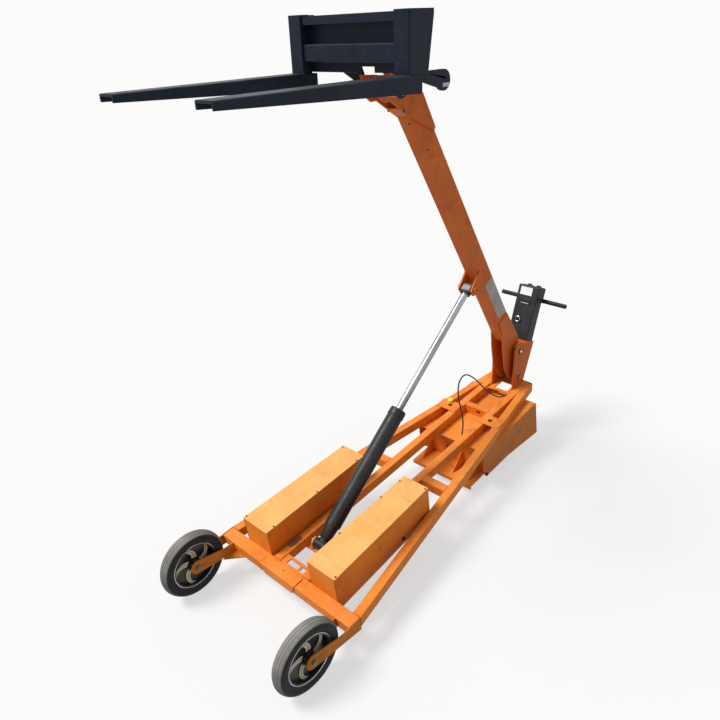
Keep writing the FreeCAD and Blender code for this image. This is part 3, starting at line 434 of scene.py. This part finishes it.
# ---------------------------------------------------------------- front wheels
TREAD_HALF_WIDTH, CROWN_DROP = 23.0, 8.0
TREAD_EDGE = 141.5  # the radius where the sidewall ends
CENTRE_GROOVE, SIDE_GROOVE, SIPE = 2.4, 1.9, 1.3  # depths
# Columns: half width, radius.
SIDE_PROFILE = [(24.0, 106.0), (27.5, 113.0), (29.6, 120.0), (30.0, 127.0), (28.9, 133.0),
                (27.0, 137.8), (24.6, 141.6)]
TREAD_X = (0.0, 1.4, 2.2, 4.5, 7.0, 9.6, 10.4, 12.4, 13.2, 16.0, 18.5, 21.0, 23.2)
TREAD_STEPS = 288
# The spokes are those of the part's source.
SPOKES, SPOKE_SWEEP, SPOKE_BOW, SPOKE_WIDTH = 5, 42.0, 10.0, 30.0
SPOKE_ROOT, SPOKE_END = 23.0, 98.0
SPOKE_WAIST = 0.42  # half the width at mid length, as a share of the spoke's width
STRIPE_SHARES = ((0.03, 0.46), (0.54, 0.97))  # across the spoke, from one long edge to the other
STRIPE_LOW, STRIPE_TOP, STRIPE_SKIP = 7.8, 8.7, 3
WEB_HALF_THICKNESS, WEB_INNER, WEB_OUTER = 5.5, 22.0, 99.5
# Rings of round wire, with columns: x, radius, wire radius, sides.
RIM_LINE = (22.4, 103.4, 1.5, 96)
HUB_RING = (33.0, 24.5, 1.6, 48)


def tread_radius(x, step):
    """The crown, with three grooves round the tyre and slanted sipes across it."""
    radius = TYRE_RADIUS - CROWN_DROP * (abs(x) / TREAD_HALF_WIDTH) ** 2.2
    if abs(x) < 2.0:
        return radius - CENTRE_GROOVE
    if 10.0 < abs(x) < 12.8:
        return radius - SIDE_GROOVE
    if (step + int(abs(x) * 0.3)) % 3 == 0:
        return radius - SIPE
    return radius


def tyre_piece(name, node, side, body):
    """A ribbed tyre in the place of the CAD's plain one, dusty on the tread."""
    sketch = Sketch(in_wheel(side))
    across = [-x for x in reversed(TREAD_X[1:])] + list(TREAD_X)
    rings = []
    for step in range(TREAD_STEPS):
        angle = 2 * math.pi * step / TREAD_STEPS
        profile = [(-x, radius) for x, radius in SIDE_PROFILE]
        profile += [(x, tread_radius(x, step)) for x in across]
        profile += list(reversed(SIDE_PROFILE))
        rings.append([(x, radius * math.cos(angle), radius * math.sin(angle))
                      for x, radius in profile])
    sketch.sweep(rings, closed=True)
    obj = sketch.piece(name, RUBBER, body, "tyre")
    obj.data.materials.append(TREAD)
    middle = in_wheel(side).translation
    for face in obj.data.polygons:
        out = face.center - middle
        if math.hypot(out.y, out.z) > TREAD_EDGE / 1000:
            face.material_index = 1
    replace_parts(obj, node)


def arc_through(a, b, c, count):
    """Points of the circle through three points, from the first to the last."""
    (ax, ay), (bx, by), (cx, cy) = a, b, c
    area = 2 * (ax * (by - cy) + bx * (cy - ay) + cx * (ay - by))
    a2, b2, c2 = (x * x + y * y for x, y in (a, b, c))
    centre = complex((a2 * (by - cy) + b2 * (cy - ay) + c2 * (ay - by)) / area,
                     (a2 * (cx - bx) + b2 * (ax - cx) + c2 * (bx - ax)) / area)
    first, last = complex(*a) - centre, complex(*c) - centre
    turn = math.atan2((last / first).imag, (last / first).real)
    return [centre + first * complex(math.cos(turn * k / count), math.sin(turn * k / count))
            for k in range(count + 1)]


def polar(radius, degrees):
    return radius * math.cos(math.radians(degrees)), radius * math.sin(math.radians(degrees))


def spoke_edge(sign):
    """One long edge of a spoke, as the part's source draws it."""
    middle = (SPOKE_ROOT + SPOKE_END) / 2
    half_root = math.degrees(SPOKE_WIDTH / 2 / SPOKE_ROOT)
    half_middle = math.degrees(SPOKE_WIDTH * SPOKE_WAIST / middle)
    half_end = math.degrees(SPOKE_WIDTH / 2 / SPOKE_END)
    return arc_through(polar(SPOKE_ROOT, sign * half_root),
                       polar(middle, SPOKE_BOW + sign * half_middle),
                       polar(SPOKE_END, SPOKE_SWEEP + sign * half_end), 24)


def wheel_trim(side, word, body):
    """Cream stripes on the spokes, a black web behind them, and rings on the rim and hub."""
    low, high = spoke_edge(-1), spoke_edge(1)
    stripes = Sketch(in_wheel(side))
    for index in range(SPOKES):
        turn = complex(*polar(1.0, 360.0 * index / SPOKES))
        for shares in STRIPE_SHARES:
            near, far = ([(a + (b - a) * share) * turn for a, b in zip(low, high)][STRIPE_SKIP:]
                         for share in shares)
            outline = [(point.real, point.imag) for point in near + far[::-1]]
            for face in (-1, 1):
                stripes.prism(outline, face * STRIPE_LOW, face * STRIPE_TOP)
    stripes.piece("spoke_stripes_" + word, SPOKE, body, "rim_black")
    web = Sketch(in_wheel(side))
    web.turned((0, 0, 0), (1, 0, 0),
               ((-WEB_HALF_THICKNESS, WEB_INNER), (-WEB_HALF_THICKNESS, WEB_OUTER),
                (WEB_HALF_THICKNESS, WEB_OUTER), (WEB_HALF_THICKNESS, WEB_INNER)), 96)
    web.piece("wheel_web_" + word, RIM, body, "rim_black")
    for start, (x, radius, wire, sides), material in (("rim_line_", RIM_LINE, BRIGHT),
                                                      ("hub_ring_", HUB_RING, STEEL)):
        rings = Sketch(in_wheel(side))
        for face in (-1, 1):
            rings.hoop((face * x, 0, 0), (1, 0, 0), radius, wire, sides)
        rings.piece(start + word, material, body, "steel")


for side, word in ((1, "left"), (-1, "right")):
    tyre_piece("tyre_" + word, "front_tyre_" + word, side, "front_wheel_" + word)
    wheel_trim(side, word, "front_wheel_" + word)

OUTER_PLATE_X, INNER_PLATE_X = 400.0, 318.0
WASHER_RADIUS, WASHER_HEIGHT = 15.0, 2.4
BOLT_HEAD_RADIUS, BOLT_HEAD_HEIGHT = 10.5, 6.4
BOLT_CROWN_RADIUS, BOLT_CROWN_TOP, BOLT_CROWN_HEIGHT = 8.8, 7.6, 1.0
AXLE_RADIUS = 8.0
washers, bolts = Sketch(in_chassis), Sketch(in_chassis)
for side in (1, -1):
    for x, out in ((OUTER_PLATE_X, side), (INNER_PLATE_X, -side)):
        head, crown = WASHER_HEIGHT, WASHER_HEIGHT + BOLT_HEAD_HEIGHT
        washers.drum((side * x, AXLE_Y, AXLE_Z), (out, 0, 0), WASHER_RADIUS, WASHER_HEIGHT, 36)
        bolts.drum((side * x + out * head, AXLE_Y, AXLE_Z), (out, 0, 0),
                   BOLT_HEAD_RADIUS, BOLT_HEAD_HEIGHT, 6)
        bolts.drum((side * x + out * crown, AXLE_Y, AXLE_Z), (out, 0, 0),
                   BOLT_CROWN_RADIUS, BOLT_CROWN_HEIGHT, 24, BOLT_CROWN_TOP)
    bolts.drum((side * INNER_PLATE_X, AXLE_Y, AXLE_Z), (side, 0, 0),
               AXLE_RADIUS, OUTER_PLATE_X - INNER_PLATE_X, 24)
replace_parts(bolts.piece("axle_bolts", OLIVE_ZINC, "chassis", "steel", 0.0006), "front_axle_bolts")
washers.piece("axle_washers", OLIVE_ZINC, "chassis", "steel", 0.0005)

# ---------------------------------------------------------------- battery boxes
BOX_TOP, BOX_INNER_X, BOX_FRONT_X, BOX_REAR_X = 126.0, 124.0, 282.0, 261.0
BOX_FRONT_Y, BOX_REAR_Y = 60.0, 678.0
# The screws along the inner edge of each lid, with columns: side, places along y.
INNER_SCREWS = ((-1, (105.0, 368.0, 632.0)), (1, (248.0, 512.0, 640.0)))
# Columns: foot of the knob, the way it points, foot radius, top radius.
BOX_KNOBS = (((266.0, 480.0, -12.0), 1, 10.0, 8.0), ((321.0, 300.0, -34.0), -1, 9.0, 7.5),
             ((-266.0, 480.0, -12.0), -1, 10.0, 8.0))
KNOB_HEIGHT = 9.0
RAIL_PATCH = ((-111.0, 138.0, -0.2), (-80.0, 206.0, 0.7))


def lid_screw(sketch, x, y):
    """A round screw head with a domed top."""
    sketch.drum((x, y, BOX_TOP), (0, 0, 1), 4.2, 1.6, 20)
    sketch.drum((x, y, BOX_TOP + 1.6), (0, 0, 1), 3.6, 1.6, 20, 1.8)


screws = Sketch(in_chassis)
for side, places in INNER_SCREWS:
    for y in places:
        lid_screw(screws, side * (BOX_INNER_X + 5), y)
    lid_screw(screws, side * (BOX_FRONT_X - 7), BOX_FRONT_Y + 14)
    lid_screw(screws, side * (BOX_REAR_X - 7), BOX_REAR_Y - 14)
screws.piece("box_lid_screws", SCREW, "chassis", "steel")

seams = Sketch(in_chassis)
for side in (1, -1):
    x0, x1 = sorted((side * (BOX_FRONT_X - 5.0), side * (BOX_FRONT_X - 2.0)))
    seams.slab((x0, BOX_FRONT_Y - 0.35, 1.0), (x1, BOX_FRONT_Y + 0.4, BOX_TOP - 1.5))
seams.piece("box_seams", SCREW, "chassis", "black_paint")

knobs = Sketch(in_chassis)
for foot, way, radius, top in BOX_KNOBS:
    knobs.drum(foot, (way, 0, 0), radius, KNOB_HEIGHT, 28, top)
knobs.piece("box_knobs", PLASTIC, "chassis", "black_plastic", 0.001)

patch = Sketch(in_chassis)
patch.slab(*RAIL_PATCH)
patch.piece("rail_patch", BROWN, "chassis", "orange_paint", 0.0003)

# ---------------------------------------------------------------- cylinder and its rod
BARREL_END, ROD_RADIUS = 693.0, 17.0
ROD_HIDDEN = 24.0  # how far the rod reaches into the barrel's mouth at rest
BLOCK_BELOW, COLLAR_LENGTH = 24.0, 12.0  # they clear the barrel with the rod drawn in
COLLAR_RADIUS, BLOCK_HALF_WIDTH, BLOCK_RADIUS = 26.0, 23.5, 21.0
COLLAR_START, BLOCK_START = ROD_LENGTH - BLOCK_BELOW - COLLAR_LENGTH, ROD_LENGTH - BLOCK_BELOW
# Profiles of the barrel's neck and mouth, with columns: along, radius.
BARREL_NECK = ((30, 20.8), (30, 25), (33, 27), (96, 32), (96, 20.8))
BARREL_MOUTH = ((-3, 17.6), (-3, 36), (0, 36), (2, 30), (2, 17.6))
BARREL_BAND, BAND_RADIUS, BAND_WIRE = 34.0, 38.4, 1.6

rod = Sketch(in_rod)
rod.drum((0, BARREL_END - ROD_HIDDEN, 0), (0, 1, 0), ROD_RADIUS,
         BLOCK_START - BARREL_END + ROD_HIDDEN + 2, 64)
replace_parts(rod.piece("rod_tube", CHROME, "lift_rod", "chrome_rod"), "cylinder_rod")

collar = Sketch(in_rod)
collar.drum((0, COLLAR_START, 0), (0, 1, 0), COLLAR_RADIUS, COLLAR_LENGTH + 0.5, 48)
collar.piece("rod_collar", PLASTIC, "lift_rod", "black_plastic", 0.0015)

block = Sketch(in_rod)
block.slab((-BLOCK_HALF_WIDTH, BLOCK_START, -BLOCK_RADIUS),
           (BLOCK_HALF_WIDTH, ROD_LENGTH + 2, BLOCK_RADIUS))
block.drum((-BLOCK_HALF_WIDTH, ROD_LENGTH, 0), (1, 0, 0), BLOCK_RADIUS, 2 * BLOCK_HALF_WIDTH, 48)
block.piece("rod_eye_block", GREY_CAST, "lift_rod", "steel", 0.003)

barrel = Sketch(in_rod)
barrel.turned((0, 0, 0), (0, 1, 0), BARREL_NECK)
barrel.turned((0, BARREL_END, 0), (0, 1, 0), BARREL_MOUTH)
barrel.hoop((0, BARREL_END - BARREL_BAND, 0), (0, 1, 0), BAND_RADIUS, BAND_WIRE, 64)
barrel.piece("barrel_ends", BARREL, "lift_cylinder", "black_paint", 0.001)

# ---------------------------------------------------------------- arm
ARM_SIDE_X, HEAD_PLATE_X = 31.0, 37.0
# Outlines and places on the arm are (along, across) from its pivot.
NAMEPLATE_OUTLINE = [(716, 66), (706, 134), (428, 134), (452, 66)]
# Small holes drawn as dark discs, painted shade in place of the holes, with columns: centre, axis,
# radius.
ARM_HOLES = (((HEAD_PLATE_X - 0.4, 1784, 22), (1, 0, 0), 7.5),
             ((-HEAD_PLATE_X + 0.4, 1784, 22), (-1, 0, 0), 7.5),
             ((17, 1708, 41.3), (0, 0, -1), 6.0),
             ((ARM_SIDE_X - 0.4, 1566, 62), (1, 0, 0), 5.0))
EYE_PIN_END = 48.6
# Columns: start and end as (along, across), bead radius.
ARM_WELDS = (((1740, 42), (1603, 128), 3.0), ((418, 52), (418, 132), 3.0),
             ((714, 42), (714, 64), 2.4), ((836, 42), (836, 64), 2.4))

plate = Sketch(in_arm)
plate.prism(NAMEPLATE_OUTLINE, ARM_SIDE_X - 0.1, ARM_SIDE_X + 0.9)
plate.piece("blank_nameplate", NAMEPLATE, "lifting_arm", None, 0.0004)

# The small holes as flat dark discs: painted shade.
marks = Sketch(in_arm)
for centre, axis, radius in ARM_HOLES:
    marks.drum(centre, axis, radius, 0.9, 24)
for side in (1, -1):
    marks.drum((side * EYE_PIN_END, EYE_ALONG, EYE_ACROSS), (side, 0, 0), 7.0, 1.4, 24)
marks.piece("arm_holes", SCREW, "lifting_arm", "steel")

welds = Sketch(in_arm)
for side in (1, -1):
    x = side * (ARM_SIDE_X + 1.2)
    for start, end, radius in ARM_WELDS:
        welds.bead((x, *start), (x, *end), radius)
welds.piece("arm_welds", ORANGE_ARM, "lifting_arm", "orange_paint")

# ---------------------------------------------------------------- frame: welds, bolts and rings
TAB_X, TAB_Y, TAB_TOP = 128.0, 1374.0, 5.0
TAB_SLEEVE = ((-0.5, 9.6), (-0.5, 13.5), (-18.0, 13.5), (-18.0, 9.6))  # (along, radius)
# Weld beads on both sides of the frame, from start to end.
SIDE_WELDS = (((70, 61, 0.5), (110, 61, 0.5)), ((361, 61, 0.5), (393, 61, 0.5)),
              ((395, 2, 0.5), (395, 58, 0.5)), ((111, 810, 0.5), (111, 849, 0.5)),
              ((243, 810, 0.5), (237, 848, 0.5)), ((69, 1431, 0.5), (69, 1463, 0.5)),
              ((71.5, 1694, 1.0), (71.5, 1796, 1.0)), ((71, 1799, 0.8), (128, 1799, 0.8)),
              ((76, 1334, 0.8), (108, 1334, 0.8)), ((176, 1334, 0.8), (192, 1334, 0.8)),
              ((76, 1414, 0.8), (108, 1414, 0.8)), ((111, 60.5, -2), (111, 60.5, -44)),
              ((322, -1, -48), (322, -1, -6)), ((64, 1688, 8), (64, 1716, 236)))
# Beads round the patch plate on the front beam.
PATCH_WELDS = (((-130, -4.5, -1), (-130, -4.5, -46)), ((-130, 4, 4), (-130, 46, 4)),
               ((85, 4, 4), (85, 46, 4)), ((-126, 48.5, 3), (80, 48.5, 3)))
HOUSING_X, HOUSING_BOLT = 208.0, (1210.0, -205.0)

welds = Sketch(in_chassis)
for side in (1, -1):
    for start, end in SIDE_WELDS:
        welds.bead((side * start[0], *start[1:]), (side * end[0], *end[1:]), 2.3)
for start, end in PATCH_WELDS:
    welds.bead(start, end, 1.8)
welds.piece("frame_welds", ORANGE, "chassis", "orange_paint")

fittings = Sketch(in_chassis)
for side in (1, -1):
    fittings.hoop((side * TAB_X, TAB_Y, TAB_TOP + 0.4), (0, 0, 1), 10.8, 1.2, 40)
    fittings.turned((side * TAB_X, TAB_Y, 0), (0, 0, 1), TAB_SLEEVE, 36)
for side in (1, -1):
    fittings.drum((side * HOUSING_X, *HOUSING_BOLT), (side, 0, 0), 11.0, 2.0, 28)
    fittings.drum((side * (HOUSING_X + 2), *HOUSING_BOLT), (side, 0, 0), 8.5, 7.0, 6)
fittings.piece("frame_fittings", SCREW, "chassis", "steel", 0.0004)

PIN_END_X = 75.0
LINK_PIVOT = (ARM_PIVOT[0] + 12.0, ARM_PIVOT[1] + 166.0)
pin_centres, pin_caps = Sketch(in_chassis), Sketch(in_chassis)
for side in (1, -1):
    pin_centres.drum((side * PIN_END_X, *LINK_PIVOT), (side, 0, 0), 8.0, 2.2, 28, 6.5)
    pin_caps.drum((side * PIN_END_X, *ARM_PIVOT), (side, 0, 0), 14.0, 2.0, 32, 12.5)
pin_centres.piece("tower_pin_ends", BRIGHT, "chassis", "steel", 0.0005)
pin_caps.piece("tower_pin_caps", ORANGE_ARM, "chassis", "orange_paint", 0.0008)

# ---------------------------------------------------------------- control head
HEAD_TOP, HEAD_DEPTH = 300.0, 72.0
KEY_X, KEY_UP = -18.0, 108.0
# Boxes in the head's frame, from the low to the high corner. Its face is at a third value of 0.
LABEL = ((-44, 246, -0.7), (26, 290, 0.2))
DISPLAY_FRAME = ((-38, 194, -2.2), (33, 229, 0.2))
DISPLAY = ((-34, 198, -2.8), (29, 225, -1.0))
DISPLAY_LINE = ((-26, 200.5, -3.1), (20, 204, -2.6))
KEY_GRIP = ((KEY_X - 20, KEY_UP - 5, -17), (KEY_X + 2, KEY_UP + 6, -11))
REAR_LOBES = (((24, 258, HEAD_DEPTH - 2), (58, 297, HEAD_DEPTH + 16)),
              ((-58, 262, HEAD_DEPTH - 2), (-30, 297, HEAD_DEPTH + 10)))
# Low knobs on the top, with columns: x, depth, foot radius, top radius, sides.
TOP_KNOBS = ((-9, 28, 22.0, 16.0, 36), (46, 34, 14.0, 10.0, 32))
SCREW_X, SCREW_UPS = 54, (12, 236)

label = Sketch(in_head)
label.slab(*LABEL)
label.piece("blank_label", BLANK, "chassis", "black_plastic", 0.0002)

trim = Sketch(in_head)
trim.slab(*DISPLAY_FRAME)
trim.slab(*KEY_GRIP)
trim.drum((KEY_X - 20, KEY_UP, -17), (0, 0, 1), 9.0, 6.0, 24)
for low, high in REAR_LOBES:
    trim.slab(low, high)
for x, depth, radius, top, sides in TOP_KNOBS:
    trim.drum((x, HEAD_TOP - 0.5, depth), (0, 1, 0), radius, 5.0, sides, top)
trim.piece("head_trim", PLASTIC, "chassis", "black_plastic", 0.0015)

display = Sketch(in_head)
display.slab(*DISPLAY)
display.piece("display_glass", GLASS, "chassis", "black_plastic", 0.0004)

bar = Sketch(in_head)
bar.slab(*DISPLAY_LINE)
bar.piece("display_bar", PALE, "chassis")

ring = Sketch(in_head)
ring.hoop((KEY_X, KEY_UP, -9.0), (0, 0, 1), 13.6, 2.3, 48)
ring.piece("key_ring", BRIGHT, "chassis", "steel")

screws = Sketch(in_head)
for x in (-SCREW_X, SCREW_X):
    for up in SCREW_UPS:
        screws.drum((x * 0.93, up, 0), (0, 0, -1), 3.2, 1.2, 20, 2.4)
screws.piece("head_screws", SCREW, "chassis", "steel")

# ---------------------------------------------------------------- carriage
LUG_PLATE = ((262.8, 190, -50), (263.8, 226, -37))
# Weld beads on both sides of the carriage, from start to end.
CARRIAGE_WELDS = (((214, 10, 36), (214, 10, 92)), ((214, 10, 155), (214, 10, 179)),
                  ((206, 0, -1), (276, 0, -1)), ((214, 44, 4), (214, 44, 176)))

plate = Sketch(in_carriage)
plate.slab(*LUG_PLATE)
plate.piece("blank_lug_plate", PALE, "fork_carriage", None, 0.0003)

welds = Sketch(in_carriage)
for side in (1, -1):
    for start, end in CARRIAGE_WELDS:
        welds.bead((side * start[0], *start[1:]), (side * end[0], *end[1:]), 1.8)
welds.piece("carriage_welds", BLACK, "fork_carriage", "black_paint")

# ---------------------------------------------------------------- the cable
CABLE_X, CABLE_LENGTH, CABLE_DIAMETER = 58.0, 0.947, 0.007
# The route in chassis (y, z), as in the part's source.
CABLE_ROUTE = [(1640, -12), (1590, -2), (1524, 50), (1460, 112), (1404, 186), (1347, 258),
               (1292, 314), (1252, 335), (1216, 324), (1198, 284), (1200, 224), (1216, 150),
               (1231, 80), (1229, 22), (1216, -18), (1212, -40)]
route = [chassis(CABLE_X, y, z) for y, z in CABLE_ROUTE]
cable_data = bpy.data.curves.new("cable_loop", "CURVE")
cable_data.dimensions = "3D"
spline = cable_data.splines.new("NURBS")
spline.points.add(len(route) - 1)
for point, place in zip(spline.points, route):
    point.co = (*place, 1.0)
spline.order_u = 3
spline.use_endpoint_u = True
spline.resolution_u = 8
cable_data.bevel_depth = CABLE_DIAMETER / 2
cable_data.bevel_resolution = 4
cable_data.use_fill_caps = True
cable_data.materials.append(CABLE)
cable = bpy.data.objects.new("cable_loop", cable_data)
bpy.context.scene.collection.objects.link(cable)
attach(cable, "chassis")
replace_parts(cable, "cable")

# ---------------------------------------------------------------- floor, light
SEEN_WHITE, AMBIENT = 0.97, 0.44  # the world's strength, as seen and as light
FLOOR_GLOW = 0.60  # lifts the floor to the photo's white, for seen rays only
FLOOR_SEEN, FLOOR_BOUNCE = 0.28, 0.40
FLOOR_HALF, FLOOR_LEVEL = 60.0, -0.0005
SUN_STRENGTH, SUN_ANGLE = 3.3, 22.0
SUN_WAY = (0.42, 0.50, -1.0)


def seen_rays(tree):
    """1 for what the camera sees directly or in metal and glass, 0 for light on the object."""
    path = tree.nodes.new("ShaderNodeLightPath")
    value = path.outputs["Is Camera Ray"]
    for name in ("Is Glossy Ray", "Is Transmission Ray"):
        either = tree.nodes.new("ShaderNodeMath")
        either.operation = "MAXIMUM"
        tree.links.new(value, either.inputs[0])
        tree.links.new(path.outputs[name], either.inputs[1])
        value = either.outputs[0]
    return value


def stage_plane():
    """A pale floor that keeps the shadow."""
    mesh = bpy.data.meshes.new("floor")
    corners = [(x * FLOOR_HALF, y * FLOOR_HALF, FLOOR_LEVEL)
               for x, y in ((-1, -1), (1, -1), (1, 1), (-1, 1))]
    mesh.from_pydata(corners, [], [(0, 1, 2, 3)])
    floor = bpy.data.objects.new("floor", mesh)
    bpy.context.scene.collection.objects.link(floor)
    n = Nodes("floor")
    seen = seen_rays(n.tree)
    n.shader.inputs["Emission Color"].default_value = (1.0, 1.0, 1.0, 1.0)
    n.put(n.shader.inputs["Emission Strength"], n.math("MULTIPLY", seen, FLOOR_GLOW))
    colour = n.mix(seen, (FLOOR_BOUNCE,) * 3, (FLOOR_SEEN,) * 3)
    mesh.materials.append(n.done(colour, 0.9, specular=0.0))


stage_plane()
world = bpy.data.worlds.new("world")
bpy.context.scene.world = world
world.use_nodes = True
strength = world.node_tree.nodes.new("ShaderNodeMapRange")
strength.inputs["To Min"].default_value = AMBIENT
strength.inputs["To Max"].default_value = SEEN_WHITE
world.node_tree.links.new(seen_rays(world.node_tree), strength.inputs["Value"])
background = world.node_tree.nodes["Background"]
background.inputs["Color"].default_value = (1.0, 1.0, 1.0, 1.0)
world.node_tree.links.new(strength.outputs["Result"], background.inputs["Strength"])

sun_data = bpy.data.lights.new("sun", "SUN")
sun_data.energy = SUN_STRENGTH
sun_data.angle = math.radians(SUN_ANGLE)
sun_data.color = (1.0, 0.985, 0.96)
sun = bpy.data.objects.new("sun", sun_data)
bpy.context.scene.collection.objects.link(sun)
sun.rotation_euler = Vector(SUN_WAY).to_track_quat("-Z", "Y").to_euler()

bpy.context.scene.view_settings.view_transform = "Standard"
